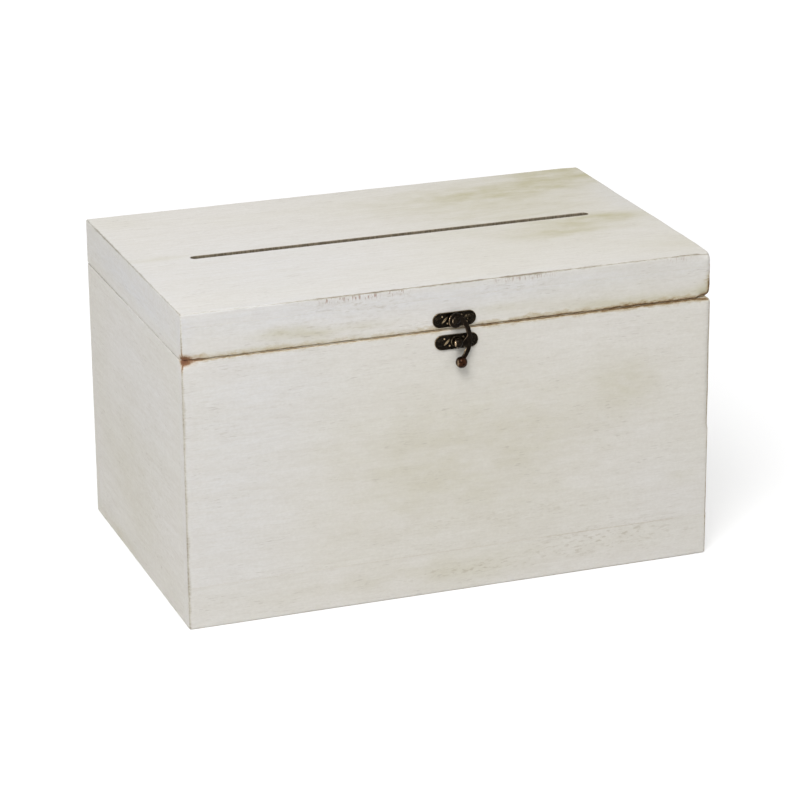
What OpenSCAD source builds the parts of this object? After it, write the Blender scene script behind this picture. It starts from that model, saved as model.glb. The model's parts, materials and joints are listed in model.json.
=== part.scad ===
// Wooden card box: an open-topped body, a hinged lid with a posting slot, two
// stop hinges on the back and a swing-hook latch on the front. Sizes are in
// millimetres. The origin is under the middle of the base, +Z is up, the latch
// faces -Y and the box is widest along X.

/* [Box] */
// Outside width
box_w = 330; // [300:1:420]
// Outside depth, front to back
box_d = 205; // [150:1:300]
// Height of the body, from the table to the seam where the lid rests
body_h = 165; // [110:1:240]
// Height of the lid above the seam
lid_h = 28; // [24:1:60]
// Thickness of the walls, of the lid's rails and of the lid's top
board_t = 8.5; // [8:0.5:12]
// Thickness of the base board, let in between the walls
base_t = 5; // [3:0.5:10]
// Height of the lower of the two boards that are glued edge to edge in front
front_joint_h = 26; // [15:0.5:80]

/* [Eased edges] */
// Rounding of the four upright corners
corner_r = 2; // [0.5:0.1:4]
// Rounding of the body's edges along the base and along the seam
body_edge_r = 1.2; // [0.4:0.1:3]
// Rounding of the lid's front and back edges
lid_edge_r = 1.2; // [0.4:0.1:3]
// Rounding of the lid's edges at its two ends
lid_end_r = 3; // [0.4:0.1:4]

/* [Posting slot] */
// Length of the slot, round ends included
slot_l = 256; // [120:1:280]
// Width of the slot
slot_w = 5.5; // [4.5:0.5:12]

/* [Latch] */
// Length of the latch plate and of the catch plate
plate_l = 27; // [24:0.2:32]
// Height of both plates, which have round ends
plate_h = 9.1; // [8.6:0.1:10.4]
// Thickness of both plates
plate_t = 0.8; // [0.6:0.1:1.2]
// Height of the hook's rivet above the seam
latch_rise = 6; // [5.4:0.1:8]
// Depth of the catch stud below the seam
catch_drop = 7.7; // [7:0.1:10]
// Sideways step from the rivet to the catch stud
catch_shift = 1.3; // [0:0.1:3]
// Depth of the sunk field inside each plate's raised rim
relief = 0.3; // [0.1:0.05:0.4]
// Width of the raised rim round both plates
rim_w = 0.9; // [0.6:0.1:1.2]
// Radius of the raised ring under each nail's head
ring_r = 2.2; // [1.9:0.1:2.6]
// Distance of a plate's nails from the middle of the plate
plate_nail_x = 10.2; // [9.6:0.1:11]
// Radius of the pressed boss that the hook turns on
boss_r = 3.3; // [2.4:0.1:4]
// Height of the boss above its plate
boss_h = 1.2; // [1:0.1:2]
// Radius of the rivet's shank
rivet_r = 1.25; // [0.8:0.05:1.6]
// Radius of the rivet's head
rivet_head_r = 2.7; // [2:0.1:3.4]
// Height of the rivet's head
rivet_head_h = 1.3; // [0.8:0.1:2]

/* [Swing hook] */
// Thickness of the hook at its eye
hook_t = 2; // [1.6:0.1:2.6]
// Radius of the hook's eye
eye_r = 4.6; // [4.4:0.1:5]
// Width of the hook's arm
arm_w = 3; // [2:0.1:3.2]
// Thickness of the hook's arm, front to back
arm_t = 1.8; // [1.4:0.1:2]
// Rounding of the hook's long edges
hook_edge_r = 0.8; // [0.2:0.1:0.9]
// Radius of the arm's bow, along its middle
bow_r = 18.5; // [18:0.1:19.5]
// Reach of the bow to the side of the rivet, to the arm's middle
bow_reach = 8.5; // [8:0.1:9.5]
// Depth of the bow's centre below the rivet
bow_drop = 12.2; // [11.8:0.1:12.8]
// Radius of the ball on the hook's end
ball_r = 3.5; // [2.8:0.1:3.7]
// Radial width of the cup that holds the stud's neck
cup_w = 1.75; // [1.2:0.05:2]
// Thickness of the cup and of the web behind it, front to back
cup_t = 1.5; // [1:0.1:1.8]
// How far the bead on each lip of the cup stands out beyond its width
lip_proud = 0.12; // [0.05:0.01:0.18]
// Radius of the stud's neck
neck_r = 1.6; // [1.2:0.05:1.9]
// Radius of the stud's head
stud_head_r = 2.9; // [2.2:0.1:3.2]
// Height of the stud's head
stud_head_h = 2.2; // [1.2:0.1:3]

/* [Hinges] */
// Distance from the side of the box to the middle of each hinge
hinge_inset = 66; // [30:1:100]
// Length of each hinge along its pin
hinge_l = 30; // [26:1:40]
// Reach of each leaf from the pin's axis
leaf_h = 11; // [10:0.5:15]
// Thickness of the sheet that the leaves are bent from
leaf_t = 0.9; // [0.7:0.05:0.9]
// Outer radius of the knuckles
barrel_r = 1.8; // [1.8:0.05:2.4]
// Radius of the hinge pin
hinge_pin_r = 0.8; // [0.5:0.05:0.8]
// Length of the middle knuckle, which belongs to the lid
middle_l = 13.4; // [10:0.2:14]
// Length of the stop tongue from the pin's axis
tongue_l = 6.2; // [4.5:0.1:7.5]
// Opening angle at which the tongue meets the body's leaf
lid_open = 105; // [90:1:120]
// Distance of a leaf's nails from the middle of the hinge
leaf_nail_x = 10.5; // [9.6:0.1:11.5]
// Distance of a leaf's nails from the pin's axis
leaf_nail_h = 7.2; // [5.6:0.1:8]

/* [Nails] */
// Radius of a nail's shank
nail_r = 0.6; // [0.4:0.05:0.8]
// Length of a nail's shank inside the wood
nail_l = 6; // [3:0.5:7]
// Radius of a nail's domed head
nail_head_r = 1.5; // [1:0.1:1.8]
// Height of a nail's domed head
nail_head_h = 0.9; // [0.5:0.05:0.9]

/* [Fits] */
// Radial gap round a part that turns on a pin
turn_fit = 0.05; // [0.02:0.01:0.1]
// Radial gap round a nail or shank that is driven or riveted home
seat_fit = 0.02; // [0:0.01:0.05]
// Gap between faces that slide past each other
slide_gap = 0.3; // [0.2:0.05:0.4]
// Gap between the stud's neck and the hook's cup when latched
cup_gap = 0.35; // [0.2:0.05:0.5]
// Play along the rivet, on each side of the hook's eye
rivet_play = 0.1; // [0.05:0.05:0.2]
// Gap left between the stop tongue and the leaf that it meets
stop_gap = 0.15; // [0.05:0.05:0.2]

/* [Hidden] */
$fn = 64;

// Box
front_y = -box_d / 2;
back_y = box_d / 2;
inner_w = box_w - 2 * board_t;
inner_d = box_d - 2 * board_t;
box_h = body_h + lid_h;
rail_h = lid_h - board_t;

// Latch, in a front view whose origin is the hook's rivet
rivet_z = body_h + latch_rise;
catch_z = body_h - catch_drop;
stud_at = [catch_shift, catch_z - rivet_z];
hook_back = plate_t + boss_h + rivet_play;
hook_front = hook_back + hook_t;
rivet_head_at = hook_front + rivet_play;
stud_head_at = hook_front + slide_gap;
bow_at = [bow_reach - bow_r, -bow_drop];
// The arm ends inside the eye, this many degrees short of the rivet
short_of_rivet = 5;
bow_top_angle = atan2(bow_drop, bow_r - bow_reach) - short_of_rivet;
bow_end_angle = -46;
hook_middle = (hook_back + hook_front) / 2;
// Most of a bar's width or thickness that one rounded edge may take
edge_share = 0.42;
// Facets of a small rounded edge, and of a disc or bend that is made of them
edge_fn = 16;
bend_fn = 48;
cup_in_r = neck_r + cup_gap;
cup_mid_r = cup_in_r + cup_w / 2;
lip_r = cup_w / 2 + lip_proud;
cup_low_angle = -90;
cup_high_angle = 10;
// The web joins the arm between two angles of the bow, and the cup from one
// angle up to its higher lip
web_top_angle = 11;
web_low_angle = -18;
web_cup_angle = -50;
ball_at = arc_point(bow_at, bow_r, bow_end_angle);
// The ball hangs clear of the wood, a little in front of the arm's middle
ball_clear = 1.2;
ball_y = ball_r + ball_clear;
stud_ring_r = stud_head_r + slide_gap;

// Hinges
hinge_x = box_w / 2 - hinge_inset;
hinge_y = back_y + barrel_r;
end_l = (hinge_l - middle_l) / 2 - slide_gap;
leaf_corner_r = 1.5;
pin_proud = 0.4;

// Cuts run past the faces that they go through by this much
through = 1;

function arc_point(centre, r, angle) = centre + r * [cos(angle), sin(angle)];

// ---------------------------------------------------------------- outlines

module rounded_rect(size, r) {
    square([size[0] - 2 * r, size[1]], center = true);
    square([size[0], size[1] - 2 * r], center = true);
    for (x = [-1, 1], y = [-1, 1])
        translate([x * (size[0] / 2 - r), y * (size[1] / 2 - r)])
            circle(r);
}

module obround(length, width) {
    square([length - width, width], center = true);
    for (x = [-1, 1])
        translate([x * (length - width) / 2, 0])
            circle(width / 2);
}

// ------------------------------------------------------------- wooden boards

// Block on z = 0 with upright, end and long edges eased by their own radii
module eased_block(w, d, h, upright_r, end_r, long_r) {
    intersection() {
        linear_extrude(h)
            rounded_rect([w, d], upright_r);
        translate([0, 0, h / 2])
            rotate([90, 0, 0])
                linear_extrude(d, center = true)
                    rounded_rect([w, h], end_r);
        translate([0, 0, h / 2])
            rotate([90, 0, 90])
                linear_extrude(w, center = true)
                    rounded_rect([d, h], long_r);
    }
}

module body_block() {
    eased_block(box_w, box_d, body_h, corner_r, body_edge_r, body_edge_r);
}

module lid_block() {
    translate([0, 0, body_h])
        eased_block(box_w, box_d, lid_h, corner_r, lid_end_r, lid_edge_r);
}

// Slab between two corners, for picking one board out of a block
module slab(low, high) {
    translate(low)
        cube(high - low);
}

module front_slab(z_low, z_high) {
    slab([-box_w / 2, front_y, z_low], [box_w / 2, front_y + board_t, z_high]);
}

module back_slab(z_low, z_high) {
    slab([-box_w / 2, back_y - board_t, z_low], [box_w / 2, back_y, z_high]);
}

module end_slab(side, z_low, z_high) {
    x_in = side * inner_w / 2;
    x_out = side * box_w / 2;
    slab([min(x_in, x_out), -inner_d / 2, z_low], [max(x_in, x_out), inner_d / 2, z_high]);
}

module front_board_lower() {
    color("whitesmoke")
        intersection() {
            body_block();
            front_slab(0, front_joint_h);
        }
}

module front_board_upper() {
    color("whitesmoke")
        difference() {
            intersection() {
                body_block();
                front_slab(front_joint_h, body_h);
            }
            catch_nail_places()
                pilot_hole();
        }
}

module back_panel() {
    color("whitesmoke")
        difference() {
            intersection() {
                body_block();
                back_slab(0, body_h);
            }
            for (side = [-1, 1])
                leaf_nail_places(side, -1)
                    pilot_hole();
        }
}

module side_panel(side) {
    color("whitesmoke")
        intersection() {
            body_block();
            end_slab(side, 0, body_h);
        }
}

module left_panel() {
    side_panel(-1);
}

module right_panel() {
    side_panel(1);
}

module base_panel() {
    color("burlywood")
        slab([-inner_w / 2, -inner_d / 2, 0], [inner_w / 2, inner_d / 2, base_t]);
}

module lid_top() {
    color("whitesmoke")
        difference() {
            intersection() {
                lid_block();
                slab([-box_w / 2, front_y, body_h + rail_h], [box_w / 2, back_y, box_h]);
            }
            translate([0, 0, body_h + rail_h - through])
                linear_extrude(board_t + 2 * through)
                    obround(slot_l, slot_w);
        }
}

module lid_front_rail() {
    color("whitesmoke")
        difference() {
            intersection() {
                lid_block();
                front_slab(body_h, body_h + rail_h);
            }
            latch_nail_places()
                pilot_hole();
        }
}

module lid_back_rail() {
    color("whitesmoke")
        difference() {
            intersection() {
                lid_block();
                back_slab(body_h, body_h + rail_h);
            }
            for (side = [-1, 1])
                leaf_nail_places(side, 1)
                    pilot_hole();
        }
}

module lid_end_rail(side) {
    color("whitesmoke")
        intersection() {
            lid_block();
            end_slab(side, body_h, body_h + rail_h);
        }
}

module lid_left_rail() {
    lid_end_rail(-1);
}

module lid_right_rail() {
    lid_end_rail(1);
}

// --------------------------------------------------------- nails and rivets

// Stands its children on the front face at a point; their +Z points outwards
module on_front(x, z) {
    translate([x, front_y, z])
        rotate([90, 0, 0])
            children();
}

// Stands its children on the back face at a point; their +Z points outwards
module on_back(x, z) {
    translate([x, back_y, z])
        rotate([-90, 0, 0])
            children();
}

module catch_nail_places() {
    for (x = [-1, 1])
        on_front(catch_shift + x * plate_nail_x, catch_z)
            children();
}

module latch_nail_places() {
    for (x = [-1, 1])
        on_front(x * plate_nail_x, rivet_z)
            children();
}

// level is -1 for the leaf on the body and 1 for the leaf on the lid
module leaf_nail_places(side, level) {
    for (x = [-1, 1])
        on_back(side * hinge_x + x * leaf_nail_x, body_h + level * leaf_nail_h)
            children();
}

// Spherical cap that stands on z = 0
module dome(r, h) {
    sphere_r = (r * r + h * h) / (2 * h);
    intersection() {
        translate([0, 0, h - sphere_r])
            sphere(sphere_r);
        cylinder(h = h, r = r + through);
    }
}

module pilot_hole() {
    translate([0, 0, -nail_l])
        cylinder(h = nail_l + through, r = nail_r + seat_fit);
}

// Escutcheon pin driven through a sheet of the given thickness
module nail(sheet_t) {
    translate([0, 0, -nail_l])
        cylinder(h = nail_l + sheet_t, r = nail_r);
    translate([0, 0, sheet_t])
        dome(nail_head_r, nail_head_h);
}

module catch_nails() {
    color("saddlebrown")
        catch_nail_places()
            nail(plate_t);
}

module latch_nails() {
    color("saddlebrown")
        latch_nail_places()
            nail(plate_t);
}

module leaf_nails(side, level) {
    color("saddlebrown")
        leaf_nail_places(side, level)
            nail(leaf_t);
}

module hinge_left_body_nails() {
    leaf_nails(-1, -1);
}

module hinge_right_body_nails() {
    leaf_nails(1, -1);
}

module hinge_left_lid_nails() {
    leaf_nails(-1, 1);
}

module hinge_right_lid_nails() {
    leaf_nails(1, 1);
}

// -------------------------------------------------------------------- latch

// Pressed plate with round ends, a raised rim, raised rings under its nails and
// a raised middle, drilled for its nails and for a shank
module pressed_plate(shank_r, middle_r, middle_h) {
    difference() {
        union() {
            linear_extrude(plate_t - relief)
                obround(plate_l, plate_h);
            linear_extrude(plate_t)
                difference() {
                    obround(plate_l, plate_h);
                    obround(plate_l - 2 * rim_w, plate_h - 2 * rim_w);
                }
            for (x = [-1, 1])
                translate([x * plate_nail_x, 0, 0])
                    cylinder(h = plate_t, r = ring_r);
            cylinder(h = plate_t + middle_h, r = middle_r);
        }
        translate([0, 0, -through])
            cylinder(h = plate_t + middle_h + 2 * through, r = shank_r + seat_fit);
        for (x = [-1, 1])
            translate([x * plate_nail_x, 0, -through])
                cylinder(h = plate_t + 2 * through, r = nail_r + seat_fit);
    }
}

module latch_plate() {
    color("darkslategray")
        on_front(0, rivet_z)
            pressed_plate(rivet_r, boss_r, boss_h);
}

module catch_plate() {
    color("darkslategray")
        on_front(catch_shift, catch_z)
            pressed_plate(neck_r, stud_ring_r, 0);
}

module latch_rivet() {
    color("sienna")
        on_front(0, rivet_z) {
            cylinder(h = rivet_head_at, r = rivet_r);
            translate([0, 0, rivet_head_at])
                dome(rivet_head_r, rivet_head_h);
        }
}

module catch_stud() {
    color("sienna")
        on_front(catch_shift, catch_z) {
            cylinder(h = stud_head_at, r = neck_r);
            translate([0, 0, stud_head_at])
                dome(stud_head_r, stud_head_h);
        }
}

// Cross-section of a cast bar with rounded edges, centred on the origin
module bar_section(width, thickness) {
    edge_r = min(hook_edge_r, edge_share * width, edge_share * thickness);
    rounded_rect([width, thickness], edge_r, $fn = edge_fn);
}

// Disc with a bar's rounded edges, centred on the origin
module eased_disc(r, thickness) {
    rotate_extrude($fn = bend_fn)
        intersection() {
            bar_section(2 * r, thickness);
            translate([0, -thickness / 2])
                square([r, thickness]);
        }
}

// Bar bent round the origin from one angle to another
module bent_bar(r, width, thickness, from_angle, to_angle) {
    rotate(from_angle)
        rotate_extrude(angle = to_angle - from_angle, $fn = bend_fn)
            translate([r, 0])
                bar_section(width, thickness);
}

// Cup under and beside the stud's neck, with beaded lips
module cup() {
    translate(stud_at) {
        bent_bar(cup_mid_r, cup_w, cup_t, cup_low_angle, cup_high_angle);
        for (angle = [cup_low_angle, cup_high_angle])
            translate(arc_point([0, 0], cup_mid_r, angle))
                sphere(lip_r, $fn = bend_fn);
    }
}

// Flat web between the cup and the arm
module web() {
    linear_extrude(cup_t, center = true)
        polygon([
            arc_point(bow_at, bow_r, web_top_angle),
            arc_point(stud_at, cup_mid_r, cup_high_angle),
            arc_point(stud_at, cup_mid_r, web_cup_angle),
            arc_point(bow_at, bow_r, web_low_angle)
        ]);
}

module arm() {
    translate(bow_at)
        bent_bar(bow_r, arm_w, arm_t, bow_end_angle, bow_top_angle);
}

module latch_hook() {
    color("sienna")
        on_front(0, rivet_z) {
            difference() {
                translate([0, 0, hook_middle]) {
                    eased_disc(eye_r, hook_t);
                    arm();
                    cup();
                    web();
                }
                cylinder(h = hook_front + through, r = rivet_r + turn_fit);
            }
            translate([ball_at[0], ball_at[1], ball_y])
                sphere(ball_r);
        }
}

// ------------------------------------------------------------------- hinges

// Puts its children at a hinge's pin axis, with their +X along the pin
module at_hinge(side) {
    translate([side * hinge_x, hinge_y, body_h])
        children();
}

module along_pin(length, r) {
    rotate([0, 90, 0])
        cylinder(h = length, r = r, center = true);
}

// Flat of a leaf, against the back face and rounded at its two far corners
module leaf_flat(level) {
    translate([0, -barrel_r + leaf_t, 0])
        rotate([90, 0, 0])
            linear_extrude(leaf_t)
                difference() {
                    translate([0, level * leaf_h / 2])
                        union() {
                            rounded_rect([hinge_l, leaf_h], leaf_corner_r);
                            translate([0, -level * leaf_h / 4])
                                square([hinge_l, leaf_h / 2], center = true);
                        }
                    for (x = [-1, 1])
                        translate([x * leaf_nail_x, level * leaf_nail_h])
                            circle(nail_r + seat_fit);
                }
}

// Room for another leaf's knuckle of the given length, at the given place
module knuckle_room(x, length) {
    translate([x, 0, 0])
        cube([length, 4 * barrel_r, 2 * (barrel_r + slide_gap)], center = true);
}

module body_leaf(side) {
    color("darkslategray")
        at_hinge(side)
            difference() {
                union() {
                    difference() {
                        leaf_flat(-1);
                        knuckle_room(0, middle_l + 2 * slide_gap);
                    }
                    for (x = [-1, 1])
                        translate([x * (hinge_l - end_l) / 2, 0, 0])
                            along_pin(end_l, barrel_r);
                }
                along_pin(hinge_l + 2 * through, hinge_pin_r + turn_fit);
            }
}

// The middle knuckle runs out into a tongue, which turns down onto the body's
// leaf and stops the lid at lid_open
module lid_leaf(side) {
    tongue_w = middle_l - 2 * slide_gap;
    color("darkslategray")
        at_hinge(side)
            difference() {
                union() {
                    difference() {
                        leaf_flat(1);
                        for (x = [-1, 1])
                            knuckle_room(x * (hinge_l - end_l) / 2, end_l + 2 * slide_gap);
                    }
                    along_pin(middle_l, barrel_r);
                    rotate([lid_open, 0, 0])
                        translate([-tongue_w / 2, -barrel_r + leaf_t + stop_gap, -tongue_l])
                            cube([tongue_w, leaf_t, tongue_l]);
                }
                along_pin(hinge_l + 2 * through, hinge_pin_r + turn_fit);
            }
}

module hinge_pin(side) {
    color("saddlebrown")
        at_hinge(side)
            along_pin(hinge_l + 2 * pin_proud, hinge_pin_r);
}

module hinge_left_body_leaf() {
    body_leaf(-1);
}

module hinge_right_body_leaf() {
    body_leaf(1);
}

module hinge_left_lid_leaf() {
    lid_leaf(-1);
}

module hinge_right_lid_leaf() {
    lid_leaf(1);
}

module hinge_left_pin() {
    hinge_pin(-1);
}

module hinge_right_pin() {
    hinge_pin(1);
}

front_board_lower();
front_board_upper();
back_panel();
left_panel();
right_panel();
base_panel();
catch_plate();
catch_stud();
catch_nails();
hinge_left_body_leaf();
hinge_left_pin();
hinge_left_body_nails();
hinge_right_body_leaf();
hinge_right_pin();
hinge_right_body_nails();
lid_top();
lid_front_rail();
lid_back_rail();
lid_left_rail();
lid_right_rail();
latch_plate();
latch_rivet();
latch_nails();
hinge_left_lid_leaf();
hinge_left_lid_nails();
hinge_right_lid_leaf();
hinge_right_lid_nails();
latch_hook();
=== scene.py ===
import json
import math
from collections import namedtuple

import bmesh
import bpy
import numpy as np
from mathutils import Matrix, Vector, noise

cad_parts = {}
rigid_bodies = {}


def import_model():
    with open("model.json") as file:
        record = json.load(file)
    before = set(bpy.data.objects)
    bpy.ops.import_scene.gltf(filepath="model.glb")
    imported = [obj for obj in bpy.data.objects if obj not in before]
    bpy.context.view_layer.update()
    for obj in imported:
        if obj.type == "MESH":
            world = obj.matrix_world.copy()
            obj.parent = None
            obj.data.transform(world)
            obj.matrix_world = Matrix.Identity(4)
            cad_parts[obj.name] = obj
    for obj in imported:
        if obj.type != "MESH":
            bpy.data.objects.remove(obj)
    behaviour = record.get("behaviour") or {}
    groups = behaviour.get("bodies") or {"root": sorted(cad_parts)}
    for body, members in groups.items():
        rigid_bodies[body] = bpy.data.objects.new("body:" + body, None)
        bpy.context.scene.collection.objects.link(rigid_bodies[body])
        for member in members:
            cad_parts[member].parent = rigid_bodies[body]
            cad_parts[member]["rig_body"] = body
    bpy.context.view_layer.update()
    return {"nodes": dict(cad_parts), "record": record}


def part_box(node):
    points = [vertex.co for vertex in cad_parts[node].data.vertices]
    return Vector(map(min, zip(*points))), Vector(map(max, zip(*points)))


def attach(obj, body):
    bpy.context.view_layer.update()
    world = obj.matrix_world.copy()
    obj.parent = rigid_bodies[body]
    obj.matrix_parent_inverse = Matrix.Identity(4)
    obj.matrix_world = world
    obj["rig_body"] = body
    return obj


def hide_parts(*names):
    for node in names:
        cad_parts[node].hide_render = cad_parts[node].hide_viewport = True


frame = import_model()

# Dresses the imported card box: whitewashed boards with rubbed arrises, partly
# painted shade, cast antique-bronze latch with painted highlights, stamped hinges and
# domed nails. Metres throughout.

MM = 0.001
X, Y, Z = 0, 1, 2
LOW, HIGH = -1, 1           # the two sides of a box along an axis
TOUCHING = 1e-6             # metres, within which points or faces are at one place
TINY = 1e-12                # keeps a division away from nought

# ------------------------------------------------------------------ the parts

BODY_BOARDS = ("front_board_lower", "front_board_upper", "back_panel",
               "left_panel", "right_panel")
LID_BOARDS = ("lid_top", "lid_front_rail", "lid_back_rail",
              "lid_left_rail", "lid_right_rail")
CROSS_BOARDS = ("left_panel", "right_panel", "lid_left_rail", "lid_right_rail")
PLATE_NODES = ("latch_plate", "catch_plate")
LATCH_METAL = PLATE_NODES + ("latch_hook", "latch_rivet", "catch_stud")
LATCH_NODES = LATCH_METAL + ("catch_nails", "latch_nails")
HINGE_NODES = ("hinge_left_body_leaf", "hinge_left_lid_leaf",
               "hinge_right_body_leaf", "hinge_right_lid_leaf",
               "hinge_left_pin", "hinge_right_pin",
               "hinge_left_body_nails", "hinge_left_lid_nails",
               "hinge_right_body_nails", "hinge_right_lid_nails")
SLOT_OF = {part["node"]: part["material_slot"] for part in frame["record"]["subparts"]}

# The posting slot, as the lid's top is cut
SLOTTED_BOARD = "lid_top"
SLOT_LENGTH = 256.0 * MM
SLOT_WIDTH = 5.5 * MM
SLOT_REACH = SLOT_LENGTH / 2 - SLOT_WIDTH / 2   # to the middle of each round end
SLOT_EDGE_R = 0.45 * MM


def body_of(node):
    """Name of the CAD body that carries a node."""
    return frame["nodes"][node]["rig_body"]


def box_of(nodes):
    """Lowest and highest corners of several nodes together, as arrays."""
    corners = [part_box(node) for node in nodes]
    lows = np.array([low for low, _ in corners])
    highs = np.array([high for _, high in corners])
    return lows.min(0), highs.max(0)


# The body and the lid as whole blocks. The radii of their eased arrises are along
# x, y and z, in millimetres: crisp on the left, worn round on the right, and
# fullest at the right-hand corners in front.
Block = namedtuple("Block", "name low high right_radii lower_corner_radii upper_corner_radii")
BODY = Block("body", *box_of(BODY_BOARDS),
             right_radii=(2.0, 2.0, 1.2),
             lower_corner_radii=(2.0, 2.0, 1.2),
             upper_corner_radii=(4.2, 3.0, 3.6))
LID = Block("lid", *box_of(LID_BOARDS),
            right_radii=(3.0, 2.4, 3.0),
            lower_corner_radii=(3.6, 5.0, 6.5),
            upper_corner_radii=(3.2, 6.5, 5.0))
LEFT_RADII = (1.1, 1.2, 1.2)
# How far from the right-hand side, and from the front, the fuller rounding has gone
# and where it is whole, in millimetres
RIGHT_BLEND = (12, 4)
FRONT_BLEND = (24, 8)
RADIUS_WANDER = 0.2         # how unevenly an arris is rounded along its length
RADIUS_WANDER_SIZE = 24 * MM
RADIUS_SEED = 1             # added to the board's number
JOINT_R = 0.1 * MM          # where boards meet
SEAM_Z = BODY.high[Z]
FRONT_JOINT_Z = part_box("front_board_lower")[1][Z]


def add_piece(name, mesh, node, material):
    """Makes a mesh into a piece that stands for one CAD node and rides its body."""
    piece = bpy.data.objects.new(name, mesh)
    bpy.context.scene.collection.objects.link(piece)
    mesh.polygons.foreach_set("use_smooth", np.ones(len(mesh.polygons), bool))
    mesh.materials.clear()
    mesh.materials.append(material)
    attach(piece, body_of(node))
    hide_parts(node)


# ------------------------------------------------------------ material graphs

def srgb(red, green, blue):
    """Linear colour of an 8-bit sRGB one."""
    def linear(value):
        value /= 255.0
        return value / 12.92 if value <= 0.04045 else ((value + 0.055) / 1.055) ** 2.4
    return (linear(red), linear(green), linear(blue), 1.0)


def part_way(first, second, share):
    """Colour that lies a share of the way from the first to the second."""
    return tuple(a + (b - a) * share for a, b in zip(first, second))


class Graph:
    """A material's node tree, with one short call for each kind of node."""

    def __init__(self, name):
        self.material = bpy.data.materials.new(name)
        self.material.use_nodes = True
        self.tree = self.material.node_tree
        self.shader = self.tree.nodes["Principled BSDF"]

    def set(self, socket, value):
        if isinstance(value, bpy.types.NodeSocket):
            self.tree.links.new(value, socket)
        else:
            socket.default_value = value

    def shade(self, name, value):
        self.set(self.shader.inputs[name], value)

    def object_place(self):
        return self.tree.nodes.new("ShaderNodeTexCoord").outputs["Object"]

    def attribute(self, name, output="Fac"):
        node = self.tree.nodes.new("ShaderNodeAttribute")
        node.attribute_name = name
        return node.outputs[output]

    def scaled(self, vector, scale):
        node = self.tree.nodes.new("ShaderNodeMapping")
        self.set(node.inputs["Vector"], vector)
        node.inputs["Scale"].default_value = scale
        return node.outputs["Vector"]

    def noise(self, vector, scale, detail=3.0, roughness=0.55, distortion=0.0):
        node = self.tree.nodes.new("ShaderNodeTexNoise")
        self.set(node.inputs["Vector"], vector)
        node.inputs["Scale"].default_value = scale
        node.inputs["Detail"].default_value = detail
        node.inputs["Roughness"].default_value = roughness
        node.inputs["Distortion"].default_value = distortion
        return node.outputs["Fac"]

    def math(self, operation, first, second=0.0, clamp=False):
        node = self.tree.nodes.new("ShaderNodeMath")
        node.operation = operation
        node.use_clamp = clamp
        self.set(node.inputs[0], first)
        self.set(node.inputs[1], second)
        return node.outputs[0]

    def step(self, value, low, high):
        """0 below low, 1 above high, smooth between."""
        node = self.tree.nodes.new("ShaderNodeMapRange")
        node.interpolation_type = "SMOOTHSTEP"
        self.set(node.inputs["Value"], value)
        node.inputs["From Min"].default_value = low
        node.inputs["From Max"].default_value = high
        return node.outputs["Result"]

    def span(self, value, low, high):
        """Maps 0..1 to low..high."""
        node = self.tree.nodes.new("ShaderNodeMapRange")
        self.set(node.inputs["Value"], value)
        node.inputs["To Min"].default_value = low
        node.inputs["To Max"].default_value = high
        return node.outputs["Result"]

    def mix(self, factor, first, second):
        node = self.tree.nodes.new("ShaderNodeMix")
        node.data_type = "RGBA"
        self.set(node.inputs[0], factor)
        self.set(node.inputs[6], first)
        self.set(node.inputs[7], second)
        return node.outputs[2]

    def veil(self, colour, value, low, high, amount, tint):
        """Lays a tint over a colour, by up to an amount, where a value is high."""
        return self.mix(self.span(self.step(value, low, high), 0.0, amount), colour, tint)

    def bump(self, height, strength, distance):
        node = self.tree.nodes.new("ShaderNodeBump")
        node.inputs["Strength"].default_value = strength
        node.inputs["Distance"].default_value = distance
        self.set(node.inputs["Height"], height)
        self.set(self.shader.inputs["Normal"], node.outputs["Normal"])


# --------------------------------------------------------- whitewashed boards

# What build_board stores on each vertex for the finish to read
ATTR_GRAIN = "grain"        # millimetres along the grain, across it and through it
ATTR_WEAR_AND_SHADE = "wear_and_shade"          # 1 on a hard-rubbed arris, falling to 0 beside it; on some arrises laid stronger as painted shade
ATTR_RED = "red"            # where the rubbing reaches the redder heart of the wood
ATTR_GREY = "grey"          # where the rubbed arrises are greyed: partly dust, partly painted shade that dulls the highlight of their rounding
ATTR_OLIVE_PATCHES = "olive_patches"        # where olive-grey patches darken the wash
ATTR_COOL = "cool"          # where the wash lies thick and bluish
ATTR_FLECKS = "flecks"      # where it has lifted off in flecks
ATTR_INSIDE = "inside"      # 1 on faces that show only with the lid open
ATTR_TICKS = "ticks"        # where saw marks cross the board's edge
ATTR_GLUE = "glue"          # along the dark glue line between the two front boards
ATTR_SLOT_SHADE = "slot_shade"      # 1 on the posting slot's walls, painted dark as the shade deep in the slot


def store(mesh, name, values, kind="FLOAT"):
    """Keeps a value, or a vector, for each of a mesh's vertices."""
    attribute = mesh.attributes.new(name, kind, "POINT")
    field = "vector" if kind == "FLOAT_VECTOR" else "value"
    attribute.data.foreach_set(field, np.asarray(values, np.float32).ravel())


def grain_noises(g, grain):
    """Noises stretched along the grain, from broad bands down to single pores."""
    return {
        "cloud": g.noise(g.scaled(grain, (0.6, 1.0, 1.0)), 0.016, 3, 0.5),
        "bands": g.noise(g.scaled(grain, (0.05, 1.0, 1.0)), 0.12, 4, 0.55, 0.5),
        "streaks": g.noise(g.scaled(grain, (0.12, 1.0, 1.0)), 0.42, 4, 0.6, 0.3),
        "fibres": g.noise(g.scaled(grain, (0.07, 1.0, 1.0)), 1.6, 3, 0.6),
        "pores": g.noise(g.scaled(grain, (0.12, 1.0, 1.0)), 1.3, 2, 0.5),
        "mottle": g.noise(g.scaled(grain, (0.45, 1.0, 1.0)), 0.1, 5, 0.6),
        "brush": g.noise(g.scaled(grain, (0.3, 1.0, 1.0)), 0.5, 5, 0.7),
        "ragged": g.noise(g.scaled(grain, (0.35, 1.0, 1.0)), 0.9, 5, 0.7),
        "specks": g.noise(g.scaled(grain, (0.7, 1.0, 1.0)), 0.75, 2, 0.5),
        "flecks": g.noise(g.scaled(grain, (0.28, 1.0, 1.0)), 0.7, 3, 0.6),
    }


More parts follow.
